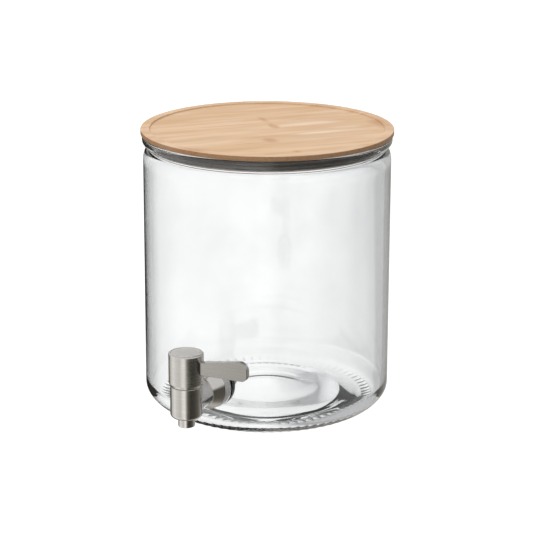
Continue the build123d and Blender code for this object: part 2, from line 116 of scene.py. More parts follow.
def rounded(corners: list[Point], radii: list[float], steps: int = 6) -> list[Point]:
    """Round a closed polygon's corners.

    Args:
        corners: the polygon's corners in order.
        radii: one radius for each corner, 0 for a sharp one.
        steps: stretches in each rounded corner.

    Returns:
        The outline's points.
    """
    outline: list[Point] = []
    count = len(corners)
    for i, (corner, radius) in enumerate(zip(corners, radii)):
        here = Vector(corner)
        before = (Vector(corners[i - 1]) - here).normalized()
        after = (Vector(corners[(i + 1) % count]) - here).normalized()
        if radius <= 0:
            outline.append(corner)
            continue
        half = before.angle(after) / 2
        reach = radius / math.tan(half)
        centre = here + (before + after).normalized() * (radius / math.sin(half))
        first = here + before * reach - centre
        last = here + after * reach - centre
        for k in range(steps + 1):
            ray = first.lerp(last, k / steps)
            point = centre + ray.normalized() * radius
            outline.append((point.x, point.y))
    return outline


def turned(name: str, outline: list[Point], segments: int) -> bpy.types.Object:
    """Turn a closed outline about the upright axis into a smooth mesh.

    Args:
        name: the piece's name.
        outline: closed outline in (radius, height), in metres; points on the axis become poles.
        segments: stretches around the axis.

    Returns:
        The new object, linked to the scene.
    """
    mesh = bmesh.new()
    rings: list[list[bmesh.types.BMVert]] = []
    for radius, height in outline:
        if radius < 1e-6:
            rings.append([mesh.verts.new((0, 0, height))])
            continue
        turn = 2 * math.pi / segments
        rings.append([
            mesh.verts.new((radius * math.cos(k * turn), radius * math.sin(k * turn), height))
            for k in range(segments)
        ])
    for here, after in zip(rings, rings[1:] + rings[:1]):
        if len(here) == 1 and len(after) == 1:
            continue
        for k in range(segments):
            n = (k + 1) % segments
            if len(here) == 1:
                mesh.faces.new((here[0], after[n], after[k]))
            elif len(after) == 1:
                mesh.faces.new((here[k], here[n], after[0]))
            else:
                mesh.faces.new((here[k], here[n], after[n], after[k]))
    bmesh.ops.recalc_face_normals(mesh, faces=mesh.faces)
    return finished(name, mesh)


def finished(name: str, mesh: bmesh.types.BMesh) -> bpy.types.Object:
    """Turn a bmesh into a linked object with smooth faces.

    Args:
        name: the object's name.
        mesh: the mesh, which is freed.

    Returns:
        The new object.
    """
    data = bpy.data.meshes.new(name)
    mesh.to_mesh(data)
    mesh.free()
    data.polygons.foreach_set("use_smooth", [True] * len(data.polygons))
    piece = bpy.data.objects.new(name, data)
    bpy.context.scene.collection.objects.link(piece)
    return piece


def crease(piece: bpy.types.Object, degrees: float) -> None:
    """Keep edges crisp in the shading where faces meet at more than an angle."""
    piece.data.set_sharp_from_angle(angle=math.radians(degrees))


def along_tap(piece: bpy.types.Object, shank_z: float) -> None:
    """Lay a piece turned about Z along the tap's shank, its +Z pointing away from the jar."""
    turn = Matrix.Rotation(math.pi / 2, 4, "X")
    piece.data.transform(Matrix.Translation((0, 0, shank_z)) @ turn)


def carve(piece: bpy.types.Object, tool: bpy.types.Object, way: str) -> None:
    """Apply an exact boolean and remove its tool.

    Args:
        piece: the mesh that is changed.
        tool: the mesh that cuts or meets it.
        way: DIFFERENCE, INTERSECT or UNION.
    """
    step = piece.modifiers.new("carve", "BOOLEAN")
    step.operation, step.object, step.solver = way, tool, "EXACT"
    graph = bpy.context.evaluated_depsgraph_get()
    data = bpy.data.meshes.new_from_object(piece.evaluated_get(graph))
    piece.modifiers.clear()
    old, piece.data = piece.data, data
    data.name = piece.name
    bpy.data.meshes.remove(old)
    bpy.data.objects.remove(tool, do_unlink=True)


# ---- shader helpers


class Tree:
    """A node tree, with short ways to add nodes and links."""

    def __init__(self, tree: bpy.types.NodeTree) -> None:
        """Start from an empty tree."""
        self.tree = tree
        tree.nodes.clear()

    def add(self, kind: str, **settings: object) -> bpy.types.Node:
        """Add a node.

        Args:
            kind: the node's type name, without its ShaderNode prefix.
            settings: node properties to set.

        Returns:
            The node.
        """
        prefix = "" if kind.startswith("Node") else "ShaderNode"
        node = self.tree.nodes.new(prefix + kind)
        for key, value in settings.items():
            setattr(node, key, value)
        return node

    def feed(self, node: bpy.types.Node, name: str | int, source: object) -> None:
        """Link a socket to an input, or set the input's plain value.

        Args:
            node: the node fed.
            name: the input's name or number.
            source: an output socket or a value.
        """
        if isinstance(source, bpy.types.NodeSocket):
            self.tree.links.new(source, node.inputs[name])
        else:
            node.inputs[name].default_value = source

    def math(self, way: str, a: object, b: object = 0.0, c: object = 0.0,
             clamp: bool = False) -> object:
        """Add a Math node.

        Args:
            way: the operation.
            a: first value or socket.
            b: second value or socket.
            c: third value or socket.
            clamp: keep the result from 0 to 1.

        Returns:
            The result's socket.
        """
        node = self.add("Math", operation=way, use_clamp=clamp)
        for number, source in enumerate((a, b, c)):
            self.feed(node, number, source)
        return node.outputs[0]

    def noise(self, vector: object, scale: float, detail: float = 3.0,
              rough: float = 0.5) -> object:
        """Add a Noise Texture.

        Args:
            vector: coordinates.
            scale: its scale.
            detail: its detail.
            rough: its roughness.

        Returns:
            The factor's socket.
        """
        node = self.add("TexNoise")
        names = ("Vector", "Scale", "Detail", "Roughness")
        for name, source in zip(names, (vector, scale, detail, rough)):
            self.feed(node, name, source)
        return node.outputs["Fac"]

    def spread(self, value: object, low: float, high: float, to_low: float = 0.0,
               to_high: float = 1.0) -> object:
        """Add a clamped, smooth Map Range.

        Args:
            value: the socket that is mapped.
            low: input at to_low.
            high: input at to_high.
            to_low: result at low.
            to_high: result at high.

        Returns:
            The result's socket.
        """
        node = self.add("MapRange", interpolation_type="SMOOTHSTEP")
        for number, source in enumerate((value, low, high, to_low, to_high)):
            self.feed(node, number, source)
        return node.outputs[0]

    def mix(self, factor: object, a: object, b: object, way: str = "MIX") -> object:
        """Add a colour Mix node.

        Args:
            factor: share of b.
            a: first colour or socket.
            b: second colour or socket.
            way: the blend type.

        Returns:
            The result's socket.
        """
        node = self.add("Mix", data_type="RGBA", blend_type=way)
        for number, source in ((0, factor), (6, a), (7, b)):
            if not isinstance(source, (bpy.types.NodeSocket, float, int)):
                source = (*source, 1.0)
            self.feed(node, number, source)
        return node.outputs[2]

    def stretch(self, vector: object, scale: Triple) -> object:
        """Add a Mapping node.

        Args:
            vector: coordinates.
            scale: scale on each axis.

        Returns:
            The mapped vector's socket.
        """
        node = self.add("Mapping")
        self.feed(node, "Vector", vector)
        self.feed(node, "Scale", scale)
        return node.outputs[0]

    def bump(self, height: object, strength: float, distance: float) -> object:
        """Add a Bump node.

        Args:
            height: the height's socket.
            strength: its strength.
            distance: its depth in metres.

        Returns:
            The normal's socket.
        """
        node = self.add("Bump")
        names = ("Height", "Strength", "Distance")
        for name, source in zip(names, (height, strength, distance)):
            self.feed(node, name, source)
        return node.outputs[0]


class Effects:
    """Shader node groups shared by several finishes, each built once."""

    _made: dict[str, bpy.types.NodeTree] = {}

    @classmethod
    def _group(cls, name: str, inputs: dict[str, float | None],
               outputs: list[str]) -> tuple[Tree, bpy.types.Node, bpy.types.Node]:
        """Open a new group with named sockets.

        Args:
            name: the group's name.
            inputs: input names with default values; None stands for a vector.
            outputs: names of the value outputs.

        Returns:
            The tree, its input node and its output node.
        """
        group = bpy.data.node_groups.new(name, "ShaderNodeTree")
        for key, value in inputs.items():
            kind = "NodeSocketVector" if value is None else "NodeSocketFloat"
            socket = group.interface.new_socket(key, in_out="INPUT", socket_type=kind)
            if value is not None:
                socket.default_value = value
        for key in outputs:
            group.interface.new_socket(key, in_out="OUTPUT", socket_type="NodeSocketFloat")
        cls._made[name] = group
        tree = Tree(group)
        return tree, tree.add("NodeGroupInput"), tree.add("NodeGroupOutput")

    @classmethod
    def edge_wear(cls) -> bpy.types.NodeTree:
        """Mask of rubbed convex edges.

        Returns:
            The group: Vector, Amount in; Mask out.
        """
        if "edge_wear" not in cls._made:
            tree, into, out = cls._group(
                "edge_wear", {"Vector": None, "Amount": 1.0}, ["Mask"])
            point = tree.add("NewGeometry").outputs["Pointiness"]
            sharp = tree.spread(point, 0.515, 0.58)
            grains = tree.noise(into.outputs["Vector"], 900.0, 4.0)
            patchy = tree.spread(grains, 0.35, 0.65, 0.35, 1.0)
            rubbed = tree.math("MULTIPLY", sharp, patchy)
            worn = tree.math("MULTIPLY", rubbed, into.outputs["Amount"], clamp=True)
            tree.feed(out, "Mask", worn)
        return cls._made["edge_wear"]

    @classmethod
    def handling(cls) -> bpy.types.NodeTree:
        """Soft smudges left by hands and cloths.

        Returns:
            The group: Vector, Scale in; Mask out.
        """
        if "handling" not in cls._made:
            tree, into, out = cls._group("handling", {"Vector": None, "Scale": 30.0}, ["Mask"])
            broad = tree.noise(into.outputs["Vector"], into.outputs["Scale"], 3.0, 0.6)
            tree.feed(out, "Mask", tree.spread(broad, 0.38, 0.66))
        return cls._made["handling"]

    @classmethod
    def brushing(cls) -> bpy.types.NodeTree:
        """Fine parallel lines along X of the given coordinates.

        Returns:
            The group: Vector, Pitch in; Lines, Height out.
        """
        if "brushing" not in cls._made:
            tree, into, out = cls._group(
                "brushing", {"Vector": None, "Pitch": 4000.0}, ["Lines", "Height"])
            flat = tree.stretch(into.outputs["Vector"], (0.02, 1.0, 1.0))
            fine = tree.noise(flat, into.outputs["Pitch"], 2.0, 0.6)
            wide_pitch = tree.math("MULTIPLY", into.outputs["Pitch"], 0.22)
            coarse = tree.noise(flat, wide_pitch, 2.0)
            tree.feed(out, "Lines", tree.spread(coarse, 0.3, 0.7))
            tree.feed(out, "Height", fine)
        return cls._made["brushing"]


def use_group(tree: Tree, group: bpy.types.NodeTree, **sources: object) -> bpy.types.Node:
    """Place a shared group in a material.

    Args:
        tree: the material's tree.
        group: the group.
        sources: its inputs by name.

    Returns:
        The group node.
    """
    node = tree.add("Group")
    node.node_tree = group
    for name, source in sources.items():
        tree.feed(node, name, source)
    return node


def open_material(
        name: str, **fixed: object) -> tuple[bpy.types.Material, Tree, bpy.types.Node, object]:
    """Start a material with a Principled shader.

    Args:
        name: the material's name.
        fixed: plain Principled values by input name, with _ for each space.

    Returns:
        The material, its tree, the Principled node and the object coordinates' socket.
    """
    material = bpy.data.materials.new(name)
    material.use_nodes = True
    tree = Tree(material.node_tree)
    shader = tree.add("BsdfPrincipled")
    for key, value in fixed.items():
        shader.inputs[key.replace("_", " ")].default_value = value
    output = tree.add("OutputMaterial")
    tree.feed(output, "Surface", shader.outputs[0])
    return material, tree, shader, tree.add("TexCoord").outputs["Object"]


# ---- finishes


@dataclass(frozen=True)
class PressedGlass:
    """Clear pressed glass with a painted cool grey shade on its upright wall's grazing edges,
    for camera rays only, standing in for the dark surroundings that show through the glass there.

    The painted shade fades out over the heights of foot_fade and neck_fade, down to the levels set
    for the foot and the neck.
    """

    name: str = "pressed_glass"
    body: Colour = (0.985, 0.992, 0.993)
    # Colour of the painted edge shade.
    edge: Colour = (0.05, 0.06, 0.07)
    edge_shade_start: float = 0.5
    edge_shade_end: float = 0.94
    foot_fade: Point = (10.0 * MM, 34.0 * MM)
    foot_shade_level: float = 0.25
    neck_fade: Point = (184.0 * MM, 192.0 * MM)
    neck_shade_level: float = 0.2
    haze: float = 0.05
    ripple_scale: float = 26.0
    ripple_depth: float = 0.12 * MM

    def material(self) -> bpy.types.Material:
        """Build the finish.

        Returns:
            The material.
        """
        material, tree, shader, place = open_material(
            self.name, IOR=1.5, Transmission_Weight=1.0, Roughness=0.0)
        # Painted shade: a cool grey on the wall's grazing edges, for camera rays only, fading near
        # the foot and the neck.
        facing = tree.add("LayerWeight")
        tree.feed(facing, "Blend", 0.5)
        rim = tree.spread(facing.outputs["Facing"], self.edge_shade_start, self.edge_shade_end)
        marks = use_group(tree, Effects.handling(), Vector=place, Scale=14.0)
        haze = tree.math("MULTIPLY", marks.outputs["Mask"], self.haze)
        split = tree.add("SeparateXYZ")
        tree.feed(split, 0, place)
        height = split.outputs[2]
        above_foot = tree.spread(height, *self.foot_fade, self.foot_shade_level, 1.0)
        below_neck = tree.spread(height, *self.neck_fade, 1.0, self.neck_shade_level)
        painted_edge_shade = tree.math("MULTIPLY", rim, tree.math("MULTIPLY", above_foot, below_neck))
        seen = tree.add("LightPath").outputs["Is Camera Ray"]
        # Share of grey: the painted edge shade plus the real haze of smudges.
        share = tree.math("ADD", tree.math("MULTIPLY", painted_edge_shade, seen), haze, clamp=True)
        tree.feed(shader, "Base Color", tree.mix(share, self.body, self.edge))
        waves = tree.noise(tree.stretch(place, (1.0, 1.0, 0.35)), self.ripple_scale, 1.0)
        tree.feed(shader, "Normal", tree.bump(waves, 0.25, self.ripple_depth))
        return material


@dataclass(frozen=True)
class Silicone:
    """Soft translucent silicone."""

    name: str = "silicone"
    body: Colour = (0.95, 0.965, 0.97)
    through: float = 1.0
    roughness: float = 0.03
    skin_depth: float = 0.06 * MM

    def material(self) -> bpy.types.Material:
        """Build the finish.

        Returns:
            The material.
        """
        material, tree, shader, place = open_material(
            self.name, IOR=1.41, Transmission_Weight=self.through)
        smudge = use_group(tree, Effects.handling(), Vector=place, Scale=60.0).outputs["Mask"]
        dull = tuple(0.9 * channel for channel in self.body)
        colour = tree.mix(tree.math("MULTIPLY", smudge, 0.5), self.body, dull)
        rough = tree.spread(smudge, 0.0, 1.0, self.roughness, self.roughness + 0.06)
        tree.feed(shader, "Base Color", colour)
        tree.feed(shader, "Roughness", rough)
        skin = tree.noise(place, 300.0, 2.0)
        tree.feed(shader, "Normal", tree.bump(skin, 0.15, self.skin_depth))
        return material


@dataclass(frozen=True)
class SatinMetal:
    """Plated metal with a fine satin grain, rubbed a little brighter on its edges."""

    name: str
    colour: Colour = (0.63, 0.605, 0.575)
    roughness: float = 0.19
    brush: Brush = Brush.AROUND_BARREL
    centre: Triple = (0.0, 0.0, 0.0)
    line_depth: float = 0.003 * MM

    def _lines(self, tree: Tree, place: object) -> object:
        """Coordinates whose X runs along the satin lines.

        Args:
            tree: the material's tree.
            place: object coordinates.

        Returns:
            The vector's socket.
        """
        move = tree.add("VectorMath", operation="SUBTRACT")
        tree.feed(move, 0, place)
        tree.feed(move, 1, self.centre)
        local = move.outputs[0]
        if self.brush is Brush.ALONG_LEVER:
            return local
        split = tree.add("SeparateXYZ")
        tree.feed(split, 0, local)
        x, y, z = split.outputs
        if self.brush is Brush.AROUND_SHANK:
            y, z = z, y
        squares = tree.math("ADD", tree.math("MULTIPLY", x, x), tree.math("MULTIPLY", y, y))
        join = tree.add("CombineXYZ")
        tree.feed(join, 0, tree.math("MULTIPLY", tree.math("ARCTAN2", y, x), 0.012))
        tree.feed(join, 1, tree.math("SQRT", squares))
        tree.feed(join, 2, z)
        return join.outputs[0]

    def material(self) -> bpy.types.Material:
        """Build the finish.

        Returns:
            The material.
        """
        material, tree, shader, place = open_material(self.name, Metallic=1.0)
        lines = use_group(tree, Effects.brushing(), Vector=self._lines(tree, place), Pitch=5200.0)
        smudge = use_group(tree, Effects.handling(), Vector=place, Scale=70.0).outputs["Mask"]
        worn = use_group(tree, Effects.edge_wear(), Vector=place, Amount=0.7).outputs["Mask"]
        bright = tuple(min(1.0, channel * 1.22) for channel in self.colour)
        dull = tuple(channel * 0.93 for channel in self.colour)
        grain = tree.mix(lines.outputs["Lines"], dull, self.colour)
        tree.feed(shader, "Base Color", tree.mix(worn, grain, bright))
        rough = tree.spread(smudge, 0.0, 1.0, self.roughness - 0.025, self.roughness + 0.045)
        rough = tree.math("ADD", rough, tree.math("MULTIPLY", lines.outputs["Lines"], 0.03))
        rough = tree.math("SUBTRACT", rough, tree.math("MULTIPLY", worn, 0.07))
        tree.feed(shader, "Roughness", rough)
        tree.feed(shader, "Normal", tree.bump(lines.outputs["Height"], 0.35, self.line_depth))
        return material


@dataclass(frozen=True)
class Bamboo:
    """Laminated bamboo: strips of slightly different tone, long fibres and brown nodes.

    Pale patches of painted sheen stand in for gloss highlights, and painted shade darkens the outer
    edge's end grain further. Each of the knots and of the painted sheen patches is a place along and
    across the grain, a half length and a half width, in metres.
    """

    name: str = "bamboo_board"
    grain_turn: float = math.radians(46.0)
    strip_width: float = 20.5 * MM
    rim_r: Point = (86.2 * MM, 87.0 * MM)
    fibre_depth: float = 0.12 * MM
    pale: Colour = (0.61, 0.432, 0.282)
    mid: Colour = (0.51, 0.325, 0.185)
    dark: Colour = (0.29, 0.15, 0.065)
    knot: Colour = (0.36, 0.17, 0.075)
    # Colour of the painted sheen patches, which stand in for gloss highlights.
    sheen: Colour = (0.70, 0.56, 0.43)
    # The outer edge's colours: the end grain's own brown, darkened further by painted shade.
    end_grain_and_shade_pale: Colour = (0.37, 0.195, 0.092)
    end_grain_and_shade_dark: Colour = (0.24, 0.115, 0.047)
    knot_share: float = 0.5
    painted_sheen_share: float = 0.6
    end_grain_and_shade_share: float = 0.8
    knots: tuple[Spot, ...] = (
        (0.0083, 0.031, 0.0036, 0.0090), (0.0075, 0.008, 0.0030, 0.0090),
        (-0.0113, -0.0354, 0.0052, 0.0090), (-0.0735, -0.049, 0.014, 0.011),
        (-0.0062, -0.074, 0.004, 0.004), (0.0144, 0.089, 0.012, 0.004),
        (0.0826, -0.0118, 0.006, 0.016),
    )
    # Patches of painted sheen: pale streaks that stand in for gloss highlights on the board.
    painted_sheen_spots: tuple[Spot, ...] = (
        (0.0403, 0.0064, 0.026, 0.0036), (0.0594, -0.0132, 0.024, 0.0030),
        (0.030, -0.024, 0.020, 0.003),
    )

    def material(self) -> bpy.types.Material:
        """Build the finish.

        Returns:
            The material.
        """
        material, tree, shader, place = open_material(self.name, Specular_IOR_Level=0.35)
        spin = tree.add("VectorRotate", rotation_type="Z_AXIS")
        tree.feed(spin, "Vector", place)
        tree.feed(spin, "Angle", -self.grain_turn)
        split = tree.add("SeparateXYZ")
        tree.feed(split, 0, spin.outputs[0])
        along, across, up = split.outputs
        strips = tree.math("DIVIDE", across, self.strip_width)
        shade = tree.add("TexWhiteNoise", noise_dimensions="1D")
        tree.feed(shade, "W", tree.math("FLOOR", strips))
        tone = shade.outputs["Value"]
        moved = tree.add("CombineXYZ")
        tree.feed(moved, 0, tree.math("ADD", along, tree.math("MULTIPLY", tone, 3.0)))
        tree.feed(moved, 1, across)
        tree.feed(moved, 2, up)
        wood = moved.outputs[0]
        fibres = tree.noise(tree.stretch(wood, (0.035, 1.0, 0.6)), 620.0, 4.0, 0.62)
        bands = tree.noise(tree.stretch(wood, (0.10, 1.0, 0.6)), 110.0, 3.0, 0.55)
        clouds = tree.noise(tree.stretch(wood, (0.55, 1.0, 1.0)), 26.0, 2.0)
        base = tree.mix(tree.spread(bands, 0.36, 0.70), self.pale, self.mid)
        seam = tree.math("ABSOLUTE", tree.math("SUBTRACT", tree.math("FRACT", strips), 0.5))
        ragged = self._ragged(tree, fibres, bands)
        layers = (
            (tree.spread(clouds, 0.42, 0.72), 0.6, self.mid),
            (tone, 0.25, self.mid),
            (tree.spread(fibres, 0.56, 0.74), 0.3, self.dark),
            # painted sheen: pale patches that stand in for gloss highlights
            (self._patches(tree, along, across, ragged, self.painted_sheen_spots), self.painted_sheen_share, self.sheen),
            (self._patches(tree, along, across, ragged, self.knots), self.knot_share, self.knot),
            (tree.spread(seam, 0.485, 0.498), 0.22, self.dark),
        )
        for mask, share, colour in layers:
            base = tree.mix(tree.math("MULTIPLY", mask, share), base, colour)
        # The outer edge's darker colour is partly the end grain's own and partly painted shade of the
        # upright side.
        cells = tree.noise(tree.stretch(place, (1.0, 1.0, 0.5)), 1500.0, 2.0)
        end = tree.mix(tree.spread(cells, 0.4, 0.65), self.end_grain_and_shade_pale, self.end_grain_and_shade_dark)
        side = tree.math("MULTIPLY", self._side(tree, place), self.end_grain_and_shade_share)
        tree.feed(shader, "Base Color", tree.mix(side, base, end))
        marks = use_group(tree, Effects.handling(), Vector=place, Scale=16.0)
        rough = tree.spread(marks.outputs["Mask"], 0.0, 1.0, 0.44, 0.58)
        rough = tree.math("ADD", rough, tree.math("MULTIPLY", fibres, 0.06))
        tree.feed(shader, "Roughness", rough)
        tree.feed(shader, "Normal", tree.bump(fibres, 0.35, self.fibre_depth))
        return material

    def _side(self, tree: Tree, place: object) -> object:
        """Mask of the board's outer edge, where the cut ends of the fibres show and painted shade
        darkens the side.

        Args:
            tree: the material's tree.
            place: object coordinates.

        Returns:
            The mask's socket.
        """
        normal = tree.add("SeparateXYZ")
        tree.feed(normal, 0, tree.add("NewGeometry").outputs["Normal"])
        upright = tree.spread(tree.math("ABSOLUTE", normal.outputs[2]), 0.25, 0.75, 1.0, 0.0)
        level = tree.add("VectorMath", operation="MULTIPLY")
        tree.feed(level, 0, place)
        tree.feed(level, 1, (1.0, 1.0, 0.0))
        reach = tree.add("VectorMath", operation="LENGTH")
        tree.feed(reach, 0, level.outputs[0])
        return tree.math("MULTIPLY", upright, tree.spread(reach.outputs["Value"], *self.rim_r))

    def _ragged(self, tree: Tree, fibres: object, bands: object) -> object:
        """How far the patches' outlines are pushed in and out.

        Args:
            tree: the material's tree.
            fibres: fibre noise that frays the patches.
            bands: wider noise that bends their outlines.

        Returns:
            The value's socket.
        """
        fray = tree.math("MULTIPLY", tree.math("SUBTRACT", fibres, 0.5), 1.4)
        bend = tree.math("MULTIPLY", tree.math("SUBTRACT", bands, 0.5), 1.8)
        return tree.math("ADD", fray, bend)

    def _patches(self, tree: Tree, along: object, across: object, ragged: object,
                 spots: tuple[Spot, ...]) -> object:
        """Mask of frayed patches in the wood.

        Args:
            tree: the material's tree.
            along: coordinate along the grain.
            across: coordinate across the grain.
            ragged: how far the outlines are pushed in and out.
            spots: place along and across the grain, half length and half width of each patch.

        Returns:
            The mask's socket.
        """
        total: object = 0.0
        for x, y, length, width in spots:
            du = tree.math("DIVIDE", tree.math("SUBTRACT", along, x), length)
            dv = tree.math("DIVIDE", tree.math("SUBTRACT", across, y), width)
            squares = tree.math("ADD", tree.math("MULTIPLY", du, du), tree.math("MULTIPLY", dv, dv))
            edge = tree.math("ADD", tree.math("SQRT", squares), ragged)
            total = tree.math("MAXIMUM", total, tree.spread(edge, 0.2, 1.25, 1.0, 0.0))
        return total


@dataclass(frozen=True)
class MouldedPlastic:
    """Plain moulded plastic or rubber with a faint mottle and a fine skin."""

    name: str
    colour: Colour
    roughness: float
    skin_scale: float = 900.0
    skin_depth: float = 0.05 * MM

    def material(self) -> bpy.types.Material:
        """Build the finish.

        Returns:
            The material.
        """
        material, tree, shader, place = open_material(self.name, IOR=1.5)
        smudge = use_group(tree, Effects.handling(), Vector=place, Scale=90.0).outputs["Mask"]
        worn = use_group(tree, Effects.edge_wear(), Vector=place, Amount=0.4).outputs["Mask"]
        dull = tuple(0.88 * channel for channel in self.colour)
        pale = tuple(min(1.0, 0.2 + 0.85 * channel) for channel in self.colour)
        mottled = tree.mix(smudge, self.colour, dull)
        rough = tree.spread(smudge, 0.0, 1.0, self.roughness, self.roughness + 0.12)
        tree.feed(shader, "Base Color", tree.mix(worn, mottled, pale))
        tree.feed(shader, "Roughness", rough)
        skin = tree.noise(place, self.skin_scale, 3.0)
        tree.feed(shader, "Normal", tree.bump(skin, 0.25, self.skin_depth))
        return material


# ---- sub-assemblies


def place_piece(piece: bpy.types.Object, body: Body, slot: Slot, material: bpy.types.Material,
                *nodes: str) -> None:
    """Give a new piece its finish and body, and let it stand for CAD nodes.

    Args:
        piece: the new piece.
        body: the CAD body that it rides on.
        slot: the record's slot of its finish; not used.
        material: its finish.
        nodes: the CAD nodes that it stands for.
    """
    piece.data.materials.clear()
    piece.data.materials.append(material)
    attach(piece, body.value)
    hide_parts(*nodes)
    LOG.info("%s: %d faces, rides on %s", piece.name, len(piece.data.polygons), body.value)


def dress_nodes(material: bpy.types.Material, *names: str) -> None:
    """Give CAD nodes a finish.

    Args:
        material: the finish.
        names: the nodes' names.
    """
    for name in names:
        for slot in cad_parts[name].material_slots:
            slot.material = material
        LOG.info("%s: dressed in %s", name, material.name)


@dataclass
class GlassJar:
    """The jar: pushed-up base, ribbed heel, straight wall, neck groove and rim bead.

    Its floor inside is a low dome out to floor_shoulder, a slope down to floor_foot and a level
    ring out to floor_edge.
    """

    wall_r: float = 90.0 * MM
    inner_r: float = 86.0 * MM
    foot_outer_r: float = 55.0 * MM
    foot_inner_r: float = 50.0 * MM
    heel_height: float = 19.5 * MM
    push_up: float = 8.0 * MM
    floor_top: float = 20.0 * MM
    floor_shoulder: Point = (37.5 * MM, 19.6 * MM)
    floor_foot: Point = (68.0 * MM, 9.6 * MM)
    floor_edge: Point = (74.0 * MM, 9.6 * MM)
    shoulder_z: float = 187.5 * MM
    neck_r: float = 86.3 * MM
    groove: Point = (196.0 * MM, 198.8 * MM)
    notch: float = 0.8 * MM
    bead_wide_z: float = 202.9 * MM
    rim_r: float = 90.7 * MM
    rim_round: float = 2.6 * MM
    lip_round: float = 1.6 * MM
    rim_top: float = 206.8 * MM
    mouth_r: float = 82.0 * MM
    inner_shoulder_z: float = 185.0 * MM
    inner_heel_z: float = 23.0 * MM
    hole_r: float = 8.6 * MM
    drill_past: float = 6.0 * MM
    shank_z: float = 43.0 * MM
    ribs: int = 76
    rib_steps: int = 6
    rib_range: Point = (72.0 * MM, 81.0 * MM)
    rib_fade: Point = (1.2 * MM, 1.6 * MM)
    rib_depth: float = 0.45 * MM
    rib_top: float = 8.0 * MM
    ripple: float = 0.16 * MM
    ripple_fade: float = 12.0 * MM
    ripple_turns: float = 2.2
    ripple_climb: float = 9.0

    def _dome(self, top: float, edge: Point, steps: int) -> list[Point]:
        """Points of a ball's cap, from the axis to its edge.

        Args:
            top: height on the axis.
            edge: the edge in (radius, height).
            steps: number of stretches.

        Returns:
            steps points, the edge left out.
        """
        rise = top - edge[1]
        ball = (edge[0] ** 2 + rise ** 2) / (2 * rise)
        radii = [edge[0] * i / steps for i in range(steps)]
        return [(r, top - ball + math.sqrt(ball * ball - r * r)) for r in radii]

    def outline(self) -> list[Point]:
        """The wall's closed section in (radius, height), up the outside and down the inside."""
        return self._outside() + self._inside()

    def _outside(self) -> list[Point]:
        """The section's outside, from the base's middle up to the lip.

        Returns:
            The points in (radius, height).
        """
        foot, heel = self.foot_outer_r, self.heel_height
        low, high = self.groove
        base_edge = (self.foot_inner_r, 0.0)
        points = self._dome(self.push_up, base_edge, 22)
        points += [base_edge, *straight(base_edge, (foot, 0.0), 3)]
        points += arc((foot, heel), (self.wall_r - foot, heel), 270, 360, 40)
        points += straight((self.wall_r, heel), (self.wall_r, self.shoulder_z), 36)
        shoulder = (self.wall_r - self.neck_r, low - self.shoulder_z)
        points += arc((self.neck_r, self.shoulder_z), shoulder, 0, 90, 12)
        for i in range(1, 6):
            depth = self.notch * math.sin(math.pi * i / 6)
            points.append((self.neck_r - depth, low + (high - low) * i / 6))
        bead = (self.rim_r - self.neck_r, self.bead_wide_z - high)
        points += arc((self.neck_r, self.bead_wide_z), bead, 270, 360, 10)
        turn, lip = self.rim_round, self.lip_round
        points += arc((self.rim_r - turn, self.rim_top - turn), (turn, turn), 0, 90, 8)
        points += arc((self.mouth_r + lip, self.rim_top - lip), (lip, lip), 90, 180, 6)
        return points

    def _inside(self) -> list[Point]:
        """The section's inside, from below the lip down to the floor's middle.

        Returns:
            The points in (radius, height).
        """
        low = self.groove[0]
        bend_z, heel_z = self.inner_shoulder_z, self.inner_heel_z
        edge_r, edge_z = self.floor_edge
        points = straight((self.mouth_r, self.rim_top - self.lip_round), (self.mouth_r, low), 4)
        points += arc((self.mouth_r, bend_z), (self.inner_r - self.mouth_r, low - bend_z), 90, 0, 12)
        points += straight((self.inner_r, bend_z), (self.inner_r, heel_z), 36)
        points += arc((edge_r, heel_z), (self.inner_r - edge_r, heel_z - edge_z), 0, -90, 14)
        points += straight(self.floor_edge, self.floor_foot, 3)
        points += [self.floor_foot, *reversed(eased(self.floor_shoulder, self.floor_foot, 16))]
        points += reversed(self._dome(self.floor_top, self.floor_shoulder, 14))
        return points

    def _rib_lift(self, place: Vector) -> float:
        """How far the heel's underside rises between two ribs.

        Args:
            place: a point of the underside.

        Returns:
            The rise in metres.
        """
        radius = math.hypot(place.x, place.y)
        low, high = self.rib_range
        rise = min(max((radius - low) / self.rib_fade[0], 0.0), 1.0)
        fall = min(max((high - radius) / self.rib_fade[1], 0.0), 1.0)
        rib = max(0.0, math.cos(self.ribs * math.atan2(place.y, place.x))) ** 1.5
        return self.rib_depth * (rise * fall) * (1.0 - rib)

    def _ripple_pull(self, place: Vector) -> float:
        """How much the inner wall is pulled in or out by its faint waves.

        Args:
            place: a point of the inner wall.

        Returns:
            The factor by which x and y are multiplied.
        """
        x, y, z = place
        angle = math.atan2(y, x)
        turns = self.ripple_turns
        spot = Vector((turns * math.cos(angle), turns * math.sin(angle), z * self.ripple_climb))
        above = (z - self.inner_heel_z) / self.ripple_fade
        below = (self.inner_shoulder_z - z) / self.ripple_fade
        return 1.0 + self.ripple * min(1.0, above, below) * noise.noise(spot) / math.hypot(x, y)

    def build(self) -> bpy.types.Object:
        """Turn the wall, rib its heel, ripple its inside and cut the tap's hole.

        Returns:
            The jar.
        """
        jar = turned("jar_glass", self.outline(), self.ribs * self.rib_steps)
        inner_limit = (self.inner_r + self.wall_r) / 2
        for vertex in jar.data.vertices:
            x, y, z = vertex.co
            radius = math.hypot(x, y)
            on_wall = self.inner_heel_z < z < self.inner_shoulder_z
            if z < self.rib_top and self.rib_range[0] < radius < self.rib_range[1]:
                vertex.co.z += self._rib_lift(vertex.co)
            elif on_wall and self.mouth_r < radius < inner_limit:
                pull = self._ripple_pull(vertex.co)
                vertex.co.x *= pull
                vertex.co.y *= pull
        self._drill(jar)
        return jar

